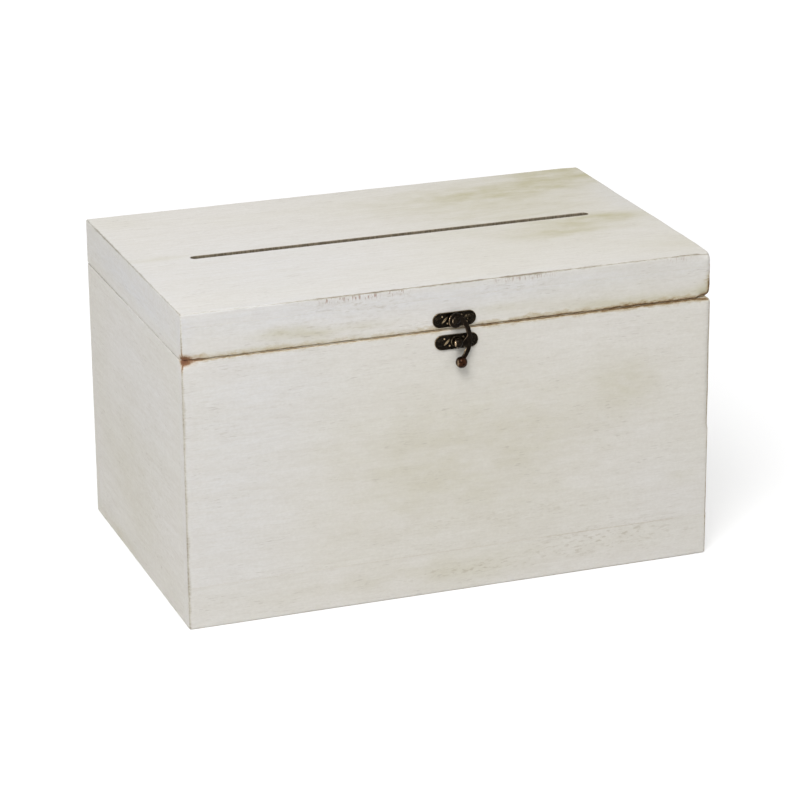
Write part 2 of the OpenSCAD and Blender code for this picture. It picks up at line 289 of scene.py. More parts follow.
def bare_wood(g, looks):
    """Pale unpainted wood, as inside the box."""
    bare = g.mix(g.step(looks["bands"], 0.3, 0.7), srgb(222, 205, 174), srgb(203, 180, 143))
    bare = g.veil(bare, looks["streaks"], 0.35, 0.7, 0.5, srgb(190, 164, 126))
    return g.veil(bare, looks["fibres"], 0.5, 0.8, 0.5, srgb(168, 140, 103))


def painted_wood(g, looks, pore_marks):
    """Thin white paint with the grain, olive patches and pores showing through."""
    wash = g.mix(g.step(looks["cloud"], 0.35, 0.65), srgb(216, 213, 208), srgb(213, 210, 202))
    thick = g.math("MULTIPLY", g.attribute(ATTR_COOL), 0.9)
    wash = g.mix(thick, wash, srgb(211, 211, 213))
    wash = g.veil(wash, looks["bands"], 0.3, 0.7, 0.22, srgb(203, 198, 189))
    wash = g.veil(wash, looks["streaks"], 0.35, 0.7, 0.24, srgb(196, 190, 181))
    wash = g.veil(wash, looks["brush"], 0.4, 0.65, 0.24, srgb(221, 219, 215))
    wash = g.veil(wash, looks["specks"], 0.35, 0.65, 0.16, srgb(190, 187, 178))
    olive_share = g.math("MULTIPLY", g.attribute(ATTR_OLIVE_PATCHES),
                  g.span(g.step(looks["mottle"], 0.25, 0.72), 0.35, 1.0))
    wash = g.mix(olive_share, wash, srgb(182, 176, 145))
    wash = g.veil(wash, looks["fibres"], 0.5, 0.78, 0.3, srgb(188, 181, 168))
    wash = g.mix(g.math("MULTIPLY", pore_marks, 0.42), wash, srgb(166, 158, 149))
    flecks = g.math("MULTIPLY", g.attribute(ATTR_FLECKS), g.step(looks["flecks"], 0.53, 0.66))
    return g.mix(flecks, wash, srgb(158, 146, 124))


def joiners_marks(g, colour, looks, saw):
    """Saw marks across the edge of the lid's top, and the glue line in front."""
    ticks = g.math("MULTIPLY", g.attribute(ATTR_TICKS), g.step(saw, 0.52, 0.6))
    colour = g.mix(g.math("MULTIPLY", ticks, 0.75), colour, srgb(152, 122, 106))
    glue = g.math("MULTIPLY", g.attribute(ATTR_GLUE), g.step(looks["ragged"], 0.35, 0.6))
    return g.mix(glue, colour, srgb(160, 145, 118))


# Layers of a rubbed arris from its fringe in to its middle, which on some arrises are
# partly painted shade: the strengths of rubbing between which the layer comes in, how
# much of it shows, and its colour on plain wood, under dust and painted shade, and at
# the red heart of the wood
WEAR_AND_SHADE_LAYERS = (
    (0.2, 0.62, 0.7, srgb(178, 162, 127), srgb(172, 169, 160), srgb(184, 154, 128)),
    (0.55, 0.85, 1.0, srgb(130, 106, 74), srgb(148, 143, 132), srgb(128, 90, 66)),
    (0.9, 1.2, 1.0, srgb(80, 56, 32), srgb(118, 112, 100), srgb(118, 80, 58)),
)


def lay_wear_and_shade(g, colour, wear_and_painted_light):
    """Lays the layers of wear, partly painted shade, over a colour."""
    red, grey = g.attribute(ATTR_RED), g.attribute(ATTR_GREY)
    for low, high, amount, plain, dust_and_shade, heart in WEAR_AND_SHADE_LAYERS:
        layer = g.mix(red, g.mix(grey, plain, dust_and_shade), heart)
        colour = g.veil(colour, wear_and_painted_light, low, high, amount, layer)
    return colour


def whitewash_material():
    g = Graph("whitewashed_wood")
    grain = g.attribute(ATTR_GRAIN, "Vector")
    looks = grain_noises(g, grain)
    saw = g.noise(g.scaled(grain, (1.0, 0.2, 0.2)), 0.9, 2, 0.6)
    pore_marks = g.math("MULTIPLY", g.step(looks["pores"], 0.6, 0.7),
                        g.step(looks["mottle"], 0.45, 0.65))
    wear_and_painted_light = g.math("ADD", g.attribute(ATTR_WEAR_AND_SHADE), g.math("SUBTRACT", looks["ragged"], 0.5))

    colour = painted_wood(g, looks, pore_marks)
    colour = g.mix(g.attribute(ATTR_INSIDE), colour, bare_wood(g, looks))
    colour = joiners_marks(g, colour, looks, saw)
    colour = lay_wear_and_shade(g, colour, wear_and_painted_light)
    # Painted shade: the slot's walls get a dark brown-grey that stands in for the shade deep in
    # the narrow slot
    slot_shade_colour = g.mix(g.step(saw, 0.3, 0.7), srgb(100, 91, 76), srgb(134, 123, 104))
    g.shade("Base Color", g.mix(g.attribute(ATTR_SLOT_SHADE), colour, slot_shade_colour))

    low, high, amount = WEAR_AND_SHADE_LAYERS[0][:3]
    bared = g.span(g.step(wear_and_painted_light, low, high), 0.0, amount)
    dryness = g.math("ADD", looks["streaks"], bared, clamp=True)
    g.shade("Roughness", g.span(dryness, 0.62, 0.86))
    g.shade("Specular IOR Level", 0.28)
    relief = g.math("ADD", g.math("MULTIPLY", looks["fibres"], 0.6),
                    g.math("MULTIPLY", looks["streaks"], 0.5))
    relief = g.math("SUBTRACT", relief, g.math("MULTIPLY", pore_marks, 0.6))
    relief = g.math("SUBTRACT", relief, g.math("MULTIPLY", g.step(wear_and_painted_light, 0.4, 0.9), 0.5))
    g.bump(relief, 0.35, 0.2 * MM)
    return g.material


def base_board_material():
    """Thin pale board let in at the bottom, unpainted."""
    g = Graph("base_board")
    looks = grain_noises(g, g.attribute(ATTR_GRAIN, "Vector"))
    wood = bare_wood(g, looks)
    g.shade("Base Color", g.veil(wood, looks["brush"], 0.4, 0.65, 0.3, srgb(214, 200, 172)))
    g.shade("Roughness", g.span(looks["streaks"], 0.66, 0.9))
    g.shade("Specular IOR Level", 0.25)
    g.bump(g.math("ADD", looks["fibres"], g.math("MULTIPLY", looks["streaks"], 0.5)),
           0.4, 0.2 * MM)
    return g.material


# Places of a board's lattice lines: distances in from both its ends, the spacing
# between those, distances out from the slot's edge, and the least step kept
END_LINES = np.array([0, 0.12, 0.3, 0.55, 0.85, 1.2, 1.6, 2.1, 2.8, 3.8, 5.2]) * MM
LINE_SPACING = 2.4 * MM
SLOT_RINGS = np.array([0, 0.12, 0.28, 0.5, 1.0, 1.8, 3.0]) * MM
LEAST_STEP = 0.02 * MM


def grid_lines(low, high, extra=()):
    """Coordinates from low to high: close together at both ends, even between."""
    near = END_LINES[END_LINES < (high - low) / 2]
    inner_low, inner_high = low + near[-1], high - near[-1]
    count = max(1, round((inner_high - inner_low) / LINE_SPACING))
    middle = np.linspace(inner_low, inner_high, count + 1)
    lines = np.concatenate([low + near, middle, high - near, np.array(extra, float)])
    lines = np.unique(np.round(lines, 7))
    return lines[np.concatenate([[True], np.diff(lines) > LEAST_STEP])]


def slot_lines():
    """Lattice lines along x and y that follow the slot's round ends and its edges."""
    half = SLOT_WIDTH / 2
    ends = SLOT_LENGTH / 2 + np.concatenate([-half * np.array([1, 0.75, 0.5, 0.25]), SLOT_RINGS])
    edges = half + SLOT_RINGS
    across = half * np.linspace(-0.75, 0.75, 7)
    return np.concatenate([ends, -ends]), np.concatenate([edges, -edges, across])


def slot_cells(lines):
    """Index of the lattice cells that the slot leaves empty."""
    centres = [(axis_lines[1:] + axis_lines[:-1]) / 2 for axis_lines in lines[:2]]
    in_x = np.abs(centres[X]) < SLOT_LENGTH / 2
    in_y = np.abs(centres[Y]) < SLOT_WIDTH / 2
    return np.ix_(in_x, in_y, np.arange(len(lines[Z]) - 1))


def lattice_surface(lines, hollow):
    """Quads round the filled cells of a lattice. hollow indexes cells, or is None."""
    counts = [len(axis_lines) - 1 for axis_lines in lines]
    filled = np.ones(counts, bool)
    if hollow is not None:
        filled[hollow] = False
    padded = np.pad(filled, 1)
    strides = np.array([len(lines[1]) * len(lines[2]), len(lines[2]), 1])
    quads = []
    for axis in range(3):
        u, v = (axis + 1) % 3, (axis + 2) % 3
        for side in (0, 1):
            shifted = np.roll(padded, 1 if side == 0 else -1, axis)
            cells = np.argwhere((padded & ~shifted)[1:-1, 1:-1, 1:-1])
            base = cells @ strides + side * strides[axis]
            loop = [base, base + strides[u], base + strides[u] + strides[v], base + strides[v]]
            quads.append(np.stack(loop if side else loop[::-1], 1))
    quads = np.concatenate(quads)
    used, flat = np.unique(quads.ravel(), return_inverse=True)
    index = np.stack([used // strides[0], used % strides[0] // strides[1], used % strides[1]], 1)
    points = np.stack([lines[axis][index[:, axis]] for axis in range(3)], 1)
    return points, flat.reshape(-1, 4)


def inset(points, low, high, axis):
    """Distance in from the nearer of a box's two faces, and the way inwards."""
    from_low = points[:, axis] - low[axis]
    from_high = high[axis] - points[:, axis]
    return np.minimum(from_low, from_high), np.where(from_low <= from_high, 1.0, -1.0)


def block_insets(points, block):
    """Distances in from a block's faces, in one row for each axis."""
    return np.stack([inset(points, block.low, block.high, axis)[0] for axis in (X, Y, Z)])


def ease(points, low, high, radii):
    """Rounds a box's arrises and corners. radii has a row of three for each point."""
    insets, ways = zip(*(inset(points, low, high, axis) for axis in (X, Y, Z)))
    reach = np.clip(1 - np.stack(insets, 1) / radii, 0, None)
    length = np.linalg.norm(reach, axis=1)
    back = np.where(length > 1, 1 - 1 / np.maximum(length, TINY), 0.0)
    points += radii * reach * back[:, None] * np.stack(ways, 1)


def noise_at(points, size, seed, octaves=3):
    """Smooth noise from about -1 to 1 with features of the given size."""
    shift = Vector((seed * 7.31, seed * 3.17, seed * 5.73))
    return np.array([
        noise.fractal(Vector(p) / size + shift, 1.0, 2.0, octaves,
                      noise_basis="PERLIN_ORIGINAL")
        for p in points])


def ramp(distance, none, full):
    """0 at one distance and 1 at another, both in millimetres, straight between."""
    return np.clip((distance / MM - none) / (full - none), 0, 1)


def soft_range(value, start, end, blend):
    """1 between start and end, falling to 0 over blend on both sides."""
    rise = np.clip((value - start) / blend + 0.5, 0, 1)
    fall = np.clip((end - value) / blend + 0.5, 0, 1)
    return rise * fall


def blob(points, centre, radii):
    """Soft spot round a point, with its own radius along each axis."""
    offsets = (points - np.array(centre) * MM) / (np.array(radii) * MM)
    return np.exp(-(offsets ** 2).sum(1))


# Each worn arris: its block, the two faces that meet there as (axis, side), how far
# the rubbing reaches in millimetres, its usual strength, and the stretches along the
# third axis that differ from it, as (start, end, strength) in millimetres. On the
# top's front arris and the lid's front-left upright the rubbing is laid stronger,
# partly as painted shade that dulls the highlight their rounding catches.
WORN_AND_SHADED_ARRISES = (
    # the seam, where body and lid meet: a soft fringe, then a narrow dark line
    ("body", (Z, HIGH), (Y, LOW), 3.2, 0.6, ((-166, -148, 0.9), (20, 80, 0.74), (80, 166, 0.98))),
    ("body", (Z, HIGH), (Y, LOW), 1.2, 0.95, ((-166, -150, 1.15), (10, 166, 1.2))),
    ("lid", (Z, LOW), (Y, LOW), 4.6, 0.66, ((-166, -150, 0.85), (20, 80, 0.82), (80, 166, 1.0))),
    ("lid", (Z, LOW), (Y, LOW), 1.5, 0.95, ((-166, -150, 1.15), (10, 166, 1.25))),
    ("lid", (Z, LOW), (X, HIGH), 5.5, 0.2, ((-104, -92, 1.3),)),
    ("body", (Z, HIGH), (X, LOW), 1.2, 0.56, ((-104, -98, 1.0), (20, 104, 0.72))),
    ("lid", (Z, LOW), (X, LOW), 1.0, 0.5, ((-104, -98, 1.0), (20, 104, 0.66))),
    ("body", (Z, HIGH), (X, HIGH), 1.8, 0.66, ((-104, -94, 1.0),)),
    ("lid", (Z, LOW), (X, HIGH), 1.8, 0.66, ((-104, -90, 1.05),)),
    ("body", (Z, HIGH), (Y, HIGH), 2.2, 0.66, ((-60, 60, 0.82),)),
    ("lid", (Z, LOW), (Y, HIGH), 2.2, 0.64, ((-20, 120, 0.8),)),
    # upright arrises
    ("body", (X, LOW), (Y, LOW), 2.3, 0.72, ((161, 166, 1.25), (20, 60, 0.82))),
    ("body", (X, HIGH), (Y, LOW), 1.8, 0.64, ((90, 130, 0.78), (20, 45, 0.84))),
    ("body", (X, LOW), (Y, HIGH), 1.8, 0.5, ((20, 70, 0.66),)),
    ("body", (X, HIGH), (Y, HIGH), 1.8, 0.5, ((90, 140, 0.68),)),
    ("lid", (X, LOW), (Y, LOW), 1.8, 0.5, ((165, 174, 1.0), (174, 182, 1.0))),
    ("lid", (X, HIGH), (Y, LOW), 7.5, 0.3, ((160, 176, 1.25), (176, 183, 0.7))),
    ("lid", (X, LOW), (Y, HIGH), 1.8, 0.45, ((165, 178, 0.66),)),
    ("lid", (X, HIGH), (Y, HIGH), 1.8, 0.45, ((170, 184, 0.66),)),
    # the foot
    ("body", (Z, LOW), (X, LOW), 2.4, 0.5, ((0, 80, 0.66),)),
    ("body", (Z, LOW), (X, HIGH), 1.6, 0.5, ((-20, 60, 0.66),)),
    ("body", (Z, LOW), (Y, LOW), 1.4, 0.4, ((60, 120, 0.5),)),
    ("body", (Z, LOW), (Y, HIGH), 1.6, 0.45, ((-120, -40, 0.66),)),
    # the lid's top
    ("lid", (Z, HIGH), (Y, LOW), 1.6, 0.7,
     ((-166, -104, 0.5), (-85, -60, 0.88), (-58, -30, 1.1), (-26, 0, 0.92), (4, 24, 0.98),
      (26, 56, 1.15), (60, 80, 0.86), (82, 112, 0.84), (140, 158, 0.9))),
    ("lid", (Z, HIGH), (Y, HIGH), 1.5, 0.5, ((-120, -30, 0.7), (50, 110, 0.66))),
    ("lid", (Z, HIGH), (X, LOW), 1.5, 0.74, ((-40, 10, 0.84), (20, 80, 0.96))),
    ("lid", (Z, HIGH), (X, HIGH), 1.6, 0.5, ((-100, -60, 0.6), (10, 70, 0.66))),
)
STRETCH_BLEND = 9.0         # millimetres over which a stretch begins and ends
MAX_REACH = 8.0 * MM        # from an arris, beyond which nothing is rubbed
WANDER = 0.55               # how unevenly the rubbing reaches in
WANDER_SIZE = 7 * MM
WANDER_SEED = 77

# Soft patches on the wash, as (centre, radii, strength) in millimetres: where it
# turns olive-grey, where the wash lies thick, and where it has lifted off in flecks
OLIVE_SPOTS = (
    ((-10, -102.5, 75), (95, 6, 45), 0.36),
    ((110, -102.5, 118), (20, 6, 14), 0.4),
    ((60, -102.5, 100), (70, 6, 30), 0.18),
    ((-10, -102.5, 14), (100, 6, 10), 0.28),
    ((112, -102.5, 19), (22, 6, 6), 0.1),
    ((148, -102.5, 52), (10, 6, 4), 0.34),
    ((-104, -102.5, 175), (14, 6, 3.2), 0.85),
    ((-84, -102.5, 172), (12, 6, 2.6), 0.5),
    ((-55, -102.5, 173), (18, 6, 2.4), 0.42),
    ((35, -102.5, 174), (30, 6, 3), 0.3),
    ((-100, -102.5, 167), (60, 6, 1.8), 0.5),
    ((120, -102.5, 169), (50, 6, 3), 0.66),
    ((100, -102.5, 180), (60, 6, 14), 0.16),
    ((160, -102.5, 170), (5, 6, 5), 0.5),
    ((106, 66, 193), (38, 11, 6), 0.9),
    ((60, 60, 193), (60, 34, 6), 0.3),
    ((148, 90, 193), (32, 20, 6), 1.3),
    ((100, 20, 193), (60, 70, 6), 0.2),
    ((130, -12, 193), (30, 8, 6), 1.0),
    ((100, -30, 193), (28, 10, 6), 0.8),
    ((80, 30, 193), (90, 70, 6), 0.22),
    ((-146, 4, 193), (24, 4, 6), 0.3),
    ((150, -80, 193), (24, 18, 6), 0.26),
    ((-165, 10, 60), (6, 60, 40), 0.2),
    ((-165, 40, 4), (6, 50, 4), 0.5),
    ((165, -20, 90), (6, 50, 30), 0.34),
    ((165, 50, 40), (6, 40, 20), 0.3),
    ((-60, 102.5, 110), (60, 6, 30), 0.34),
    ((70, 102.5, 50), (60, 6, 26), 0.34),
    ((20, 102.5, 178), (80, 6, 6), 0.4),
)
COOL_PATCHES = (
    ((-120, -102.5, 140), (60, 6, 50), 0.6),
    ((-140, -102.5, 60), (40, 6, 60), 0.5),
    ((140, -102.5, 40), (36, 6, 36), 0.15),
    ((0, -102.5, 185), (190, 6, 9), 0.9),
    ((-165, 0, 180), (6, 120, 11), 1.0),
    ((-165, -30, 120), (6, 90, 60), 0.4),
    ((-100, -40, 193), (90, 70, 6), 0.6),
    ((158, 30, 193), (10, 40, 6), 0.6),
)
FLECK_PATCHES = (
    ((98, -102.5, 20), (48, 6, 9), 0.42),
    ((10, -102.5, 13), (44, 6, 3.5), 0.45),
    ((40, -102.5, 44), (90, 6, 5), 0.2),
    ((-90, -102.5, 174), (34, 6, 5), 0.3),
    ((-56, -102.5, 186), (30, 6, 5), 0.4),
    ((40, -102.5, 186), (22, 6, 4), 0.3),
    ((-20, -102.5, 172), (40, 6, 5), 0.2),
    ((-165, -40, 60), (6, 50, 40), 0.14),
)

# Saw marks across the front edge of the lid's top: their stretches along x, the blend
# at the ends of those, and the heights between which they show with its own blend
TICK_STRETCHES = ((-81, -28, 1.0), (26, 62, 0.6), (134, 150, 0.35))
TICK_BLEND = 6
TICK_BAND = (189.6, 192.8, 1.6)
# The dark glue line between the front boards
GLUE_STRETCHES = ((-60, 50, 0.14), (58, 142, 0.5))
GLUE_HALF_WIDTH = 0.5

# Corner knocked off at the seam, and the red wood round it: centre and radii
CHIP_SPOT = ((-165, -102.5, 165), (8.5, 5.0, 3.3))
CHIP_DEPTH = 1.3 * MM
CHIP_RUB = 1.35             # how hard it is rubbed
RED_SPOT = ((-165, -102.5, 165), (10.0, 6.0, 5.0))

# Small dents where the arrises are rubbed
DENT_FROM = 0.15            # strength of rubbing beyond which they begin
DENT_SIZE = 3.2 * MM
DENT_DEPTH = 0.6 * MM
DENT_FLOOR = 0.05           # what is taken off their noise, so that parts stay flat
DENT_REACH = 3 * MM         # how far in from a block's faces
DENT_SEED = 31              # added to the board's number

# Where rubbed arrises are greyed, partly by dust and partly as painted shade that
# dulls the highlight of their rounding, as distances in millimetres at which it has
# gone and at which it is whole: from the left side, from the front, from the seam and
# from the top; and its strength in front and on top
DUST_AND_SHADE_LEFT = (3, 2)
DUST_AND_SHADE_BEHIND_FRONT = (4, 8)
DUST_AND_SHADE_OFF_SEAM = (4, 8)
DUST_AND_SHADE_TOP = (4, 2)
DUST_AND_SHADE_IN_FRONT = 0.7
DUST_AND_SHADE_ON_TOP = 0.75

RIM_WASH = 2.6 * MM         # how far the wash runs in over the rims that meet
# Shift of the grain from each board to the next, in millimetres, so that none match
GRAIN_SHIFT = (431.0, 57.0, 91.0)


def arris_wear_and_shade(points, block):
    """Strength of rubbing at each point, from the arrises of its block; on some arrises partly
    painted shade.
    """
    wear_and_shade = np.zeros(len(points))
    wander = np.zeros(len(points))
    by_arris = (block_insets(points, block) < MAX_REACH).sum(0) > 1
    wander[by_arris] = noise_at(points[by_arris], WANDER_SIZE, WANDER_SEED, 4)
    for name, first, second, reach, usual, stretches in WORN_AND_SHADED_ARRISES:
        if name != block.name:
            continue
        distances = []
        for axis, side in (first, second):
            face = block.low[axis] if side == LOW else block.high[axis]
            distances.append(np.abs(points[:, axis] - face) / MM)
        third = X + Y + Z - first[0] - second[0]
        strength = np.full(len(points), usual)
        for start, end, level in stretches:
            inside = soft_range(points[:, third] / MM, start, end, STRETCH_BLEND)
            strength += (level - usual) * inside
        closeness = 1 - np.maximum(*distances) / (reach * (1 + WANDER * wander))
        wear_and_shade = np.maximum(wear_and_shade, strength * np.clip(closeness, 0, 1))
    return wear_and_shade


def slot_ends(points):
    """Turns the lattice's square slot ends into half circles."""
    half = SLOT_WIDTH / 2
    for way in (-1, 1):
        x, y = way * points[:, X] - SLOT_REACH, points[:, Y]
        square = np.maximum(np.abs(x), np.abs(y))
        length = np.maximum(np.hypot(x, y), TINY)
        # whole up to the slot's edge, and gone at four times that distance
        weight = np.where(x > 0, np.clip((4 * half - square) / (3 * half), 0, 1), 0)
        scale = 1 + weight * (square / length - 1)
        points[:, X] = np.where(x > 0, way * (x * scale + SLOT_REACH), points[:, X])
        points[:, Y] = y * scale


def from_slot(points):
    """Steps in x and y out from the slot's spine, their length, and that past its edge."""
    spine = np.clip(points[:, X], -SLOT_REACH, SLOT_REACH)
    across = np.stack([points[:, X] - spine, points[:, Y]], 1)
    length = np.hypot(across[:, X], across[:, Y])
    return across, length, length - SLOT_WIDTH / 2


def ease_slot(points, low, high):
    """Rounds the slot's arrises at the top and the underside of the lid's top."""
    across, length, out = from_slot(points)
    depth, way = inset(points, low, high, Z)
    u, v = SLOT_EDGE_R - out, SLOT_EDGE_R - depth
    size = np.hypot(u, v)
    moved = (u > 0) & (v > 0) & (size > SLOT_EDGE_R)
    scale = np.where(moved, SLOT_EDGE_R / np.maximum(size, TINY), 1.0)
    push = (u - u * scale) / np.maximum(length, TINY)
    points[:, :Z] += across * push[:, None]
    points[:, Z] += (v - v * scale) * way


def ease_block(points, square, block, seed):
    """Eases a whole block's arrises, the right-hand ones fuller than the left."""
    def near(distance, blend):
        share = ramp(distance, *blend)
        return (share * share * (3 - 2 * share))[:, None]

    near_right = near(block.high[X] - square[:, X], RIGHT_BLEND)
    near_front = near(square[:, Y] - block.low[Y], FRONT_BLEND)
    lower = (square[:, Z] < (block.low[Z] + block.high[Z]) / 2)[:, None]
    right = np.array(block.right_radii)
    corner = np.where(lower, block.lower_corner_radii, block.upper_corner_radii)
    radii = np.array(LEFT_RADII) + near_right * (right - LEFT_RADII)
    radii = radii + near_right * near_front * (corner - right)
    wander = 1 + RADIUS_WANDER * noise_at(points, RADIUS_WANDER_SIZE, seed, 2)
    ease(points, block.low, block.high, radii * MM * wander[:, None])


def dent(points, square, wear_and_shade, block, seed):
    """Sinks small dents in the rubbed arrises, and the chip at the seam's corner."""
    near = wear_and_shade > DENT_FROM
    dents = np.zeros(len(points))
    dents[near] = np.clip(noise_at(points[near], DENT_SIZE, seed) - DENT_FLOOR, 0, 1)
    depth = DENT_DEPTH * dents * np.clip(wear_and_shade - DENT_FROM, 0, 1)
    chip = CHIP_DEPTH * blob(square, *CHIP_SPOT)
    for axis in (X, Y, Z):
        push = depth if axis == Z else depth + chip
        from_middle = square[:, axis] - (block.low[axis] + block.high[axis]) / 2
        half_size = (block.high[axis] - block.low[axis]) / 2
        close = np.abs(np.abs(from_middle) - half_size) < DENT_REACH
        points[:, axis] -= np.where(close, np.sign(from_middle) * push, 0)


def dust_and_shade_share(square):
    """Where rubbed arrises are greyed, by dust and painted shade: all round the left end, partly
    on top.
    """
    left = ramp(square[:, X] - BODY.low[X], *DUST_AND_SHADE_LEFT)
    behind_front = ramp(square[:, Y] - BODY.low[Y], *DUST_AND_SHADE_BEHIND_FRONT)
    off_seam = ramp(np.abs(square[:, Z] - SEAM_Z), *DUST_AND_SHADE_OFF_SEAM)
    left *= np.maximum(behind_front, DUST_AND_SHADE_IN_FRONT * off_seam)
    top = ramp(LID.high[Z] - square[:, Z], *DUST_AND_SHADE_TOP)
    return np.maximum(left, DUST_AND_SHADE_ON_TOP * top)


def shows_bare(square, block):
    """Where the wood is unpainted: on faces that show only with the lid open."""
    insets = block_insets(square, block)
    outer = insets.min(0) < TOUCHING
    on_seat = np.abs(square[:, Z] - SEAM_Z) < TOUCHING
    past_wash = np.minimum(insets[X], insets[Y]) > RIM_WASH
    return ~outer | (on_seat & past_wash)


def patches(square, spots):
    """Strength of soft patches together, from 0 to 1."""
    return np.clip(sum(level * blob(square, *spot) for *spot, level in spots), 0, 1)


def marks_along(square, stretches, blend):
    """Strength of marks along x, from stretches (start, end, strength)."""
    return sum(level * soft_range(square[:, X] / MM, start, end, blend)
               for start, end, level in stretches)


def glue_line(square):
    """The dark line where the front boards are glued."""
    on_face = square[:, Y] < BODY.low[Y] + TOUCHING
    near = ramp(np.abs(square[:, Z] - FRONT_JOINT_Z), GLUE_HALF_WIDTH, 0)
    return near * on_face * marks_along(square, GLUE_STRETCHES, STRETCH_BLEND)


def saw_ticks(square, low):
    """Saw marks across the front edge of a board whose lowest corner is given."""
    on_front = np.abs(square[:, Y] - low[Y]) < TOUCHING
    in_band = soft_range(square[:, Z] / MM, *TICK_BAND)
    marks = marks_along(square, TICK_STRETCHES, TICK_BLEND)
    return np.clip(marks * in_band * on_front, 0, 1)


def build_board(node, index, material):
    """One board as a dense mesh, with eased, dented arrises and attributes for wear and for
    painted shade.
    """
    low, high = (np.array(corner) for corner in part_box(node))
    block = LID if node in LID_BOARDS else BODY
    has_slot = node == SLOTTED_BOARD
    extra = slot_lines() + ((),) if has_slot else ((), (), ())
    lines = [grid_lines(low[axis], high[axis], extra[axis]) for axis in (X, Y, Z)]
    points, quads = lattice_surface(lines, slot_cells(lines) if has_slot else None)
    square = points.copy()      # where each point was before it was rounded
    if has_slot:
        slot_ends(points)
    ease_block(points, square, block, index + RADIUS_SEED)
    ease(points, low, high, np.full(points.shape, JOINT_R))
    if has_slot:
        ease_slot(points, low, high)
    wear_and_shade = arris_wear_and_shade(square, block)
    dent(points, square, wear_and_shade, block, index + DENT_SEED)

    mesh = bpy.data.meshes.new(node + "_board")
    mesh.from_pydata(points.tolist(), [], quads.tolist())
    mesh.update()

    order = (Y, X, Z) if node in CROSS_BOARDS else (X, Y, Z)
    grain = square[:, order] / MM + index * np.array(GRAIN_SHIFT)
    store(mesh, ATTR_GRAIN, grain, "FLOAT_VECTOR")
    store(mesh, ATTR_WEAR_AND_SHADE, np.maximum(wear_and_shade, CHIP_RUB * blob(square, *CHIP_SPOT)))
    store(mesh, ATTR_RED, blob(square, *RED_SPOT))
    store(mesh, ATTR_GREY, dust_and_shade_share(square))
    store(mesh, ATTR_INSIDE, shows_bare(square, block))
    store(mesh, ATTR_OLIVE_PATCHES, patches(square, OLIVE_SPOTS))
    store(mesh, ATTR_COOL, patches(square, COOL_PATCHES))
    store(mesh, ATTR_FLECKS, patches(square, FLECK_PATCHES))
    store(mesh, ATTR_GLUE, glue_line(square))
    ticks = slot_shade = np.zeros(len(points))
    if has_slot:
        ticks = saw_ticks(square, low)
        # painted shade, whole on the slot's walls and fading over its rounded rim
        slot_shade = np.clip(1 - from_slot(points)[2] / SLOT_EDGE_R, 0, 1)
    store(mesh, ATTR_TICKS, ticks)
    store(mesh, ATTR_SLOT_SHADE, slot_shade)
    add_piece(node + "_finished", mesh, node, material)


# ------------------------------------------------------------ bronze hardware

ATTR_WEAR_AND_PAINTED_LIGHT = "wear_and_painted_light"      # 1 on the crests that hands and cloths polish, and on faces given a painted highlight
ATTR_HOLLOW = "hollow"      # 1 in the creases that keep their black patina
ATTR_HANDLED = "handled"    # 1 on the hook's ball, which fingers rub to red metal

# How the castings are made: nodes, first seed, size of the mesh in millimetres,
# passes that round it, and depth of the pits in millimetres
CASTINGS = (
    (LATCH_NODES, 0, 0.13, 4, 0.04),
    (HINGE_NODES, 20, 0.22, 2, 0.03),
)
PIT_SIZE = 1.6              # millimetres
RUBBED_DEPTH = 0.04         # how far a crest stands above its neighbours, in mm
CREST_PASSES = 8            # of averaging, for the shape that crests stand above
HEIGHT_PASSES = 2           # of averaging, for the heights themselves


def remeshed(node, voxel, passes):
    """A CAD node's shape as an even mesh in millimetres, its hard edges rounded."""
    mesh = frame["nodes"][node].data.copy()
    build = bmesh.new()
    build.from_mesh(mesh)
    bmesh.ops.remove_doubles(build, verts=build.verts, dist=TOUCHING)
    build.to_mesh(mesh)
    build.free()
    mesh.transform(Matrix.Scale(1 / MM, 4))
    holder = bpy.data.objects.new(node + "_source", mesh)
    bpy.context.scene.collection.objects.link(holder)
    even = holder.modifiers.new("even", "REMESH")
    even.mode = "VOXEL"
    even.voxel_size = voxel
    rounding = holder.modifiers.new("rounding", "SMOOTH")
    rounding.factor = 0.5
    rounding.iterations = passes
    graph = bpy.context.evaluated_depsgraph_get()
    result = bpy.data.meshes.new_from_object(holder.evaluated_get(graph))
    bpy.data.objects.remove(holder)
    bpy.data.meshes.remove(mesh)
    return result


def coordinates(mesh):
    """Places of a mesh's vertices, one row each."""
    flat = np.empty(len(mesh.vertices) * 3)
    mesh.vertices.foreach_get("co", flat)
    return flat.reshape(-1, 3)


def vertex_normals(mesh):
    """Directions that a mesh's vertices face, one row each."""
    flat = np.empty(len(mesh.vertices) * 3, np.float32)
    mesh.vertex_normals.foreach_get("vector", flat)
    return flat.reshape(-1, 3).astype(float)


def set_coordinates(mesh, points):
    """Moves a mesh's vertices."""
    mesh.vertices.foreach_set("co", points.ravel())
    mesh.update()


def spread(mesh, values, passes):
    """Averages a value over each vertex's neighbours, several times."""
    flat = np.empty(len(mesh.edges) * 2, int)
    mesh.edges.foreach_get("vertices", flat)
    first, second = flat.reshape(-1, 2).T
    count = np.bincount(flat, minlength=len(values)).astype(float)[:, None]
    values = values.reshape(len(values), -1)
    for _ in range(passes):
        total = np.zeros_like(values)
        np.add.at(total, first, values[second])
        np.add.at(total, second, values[first])
        values = 0.5 * values + 0.5 * total / np.maximum(count, 1)
    return values


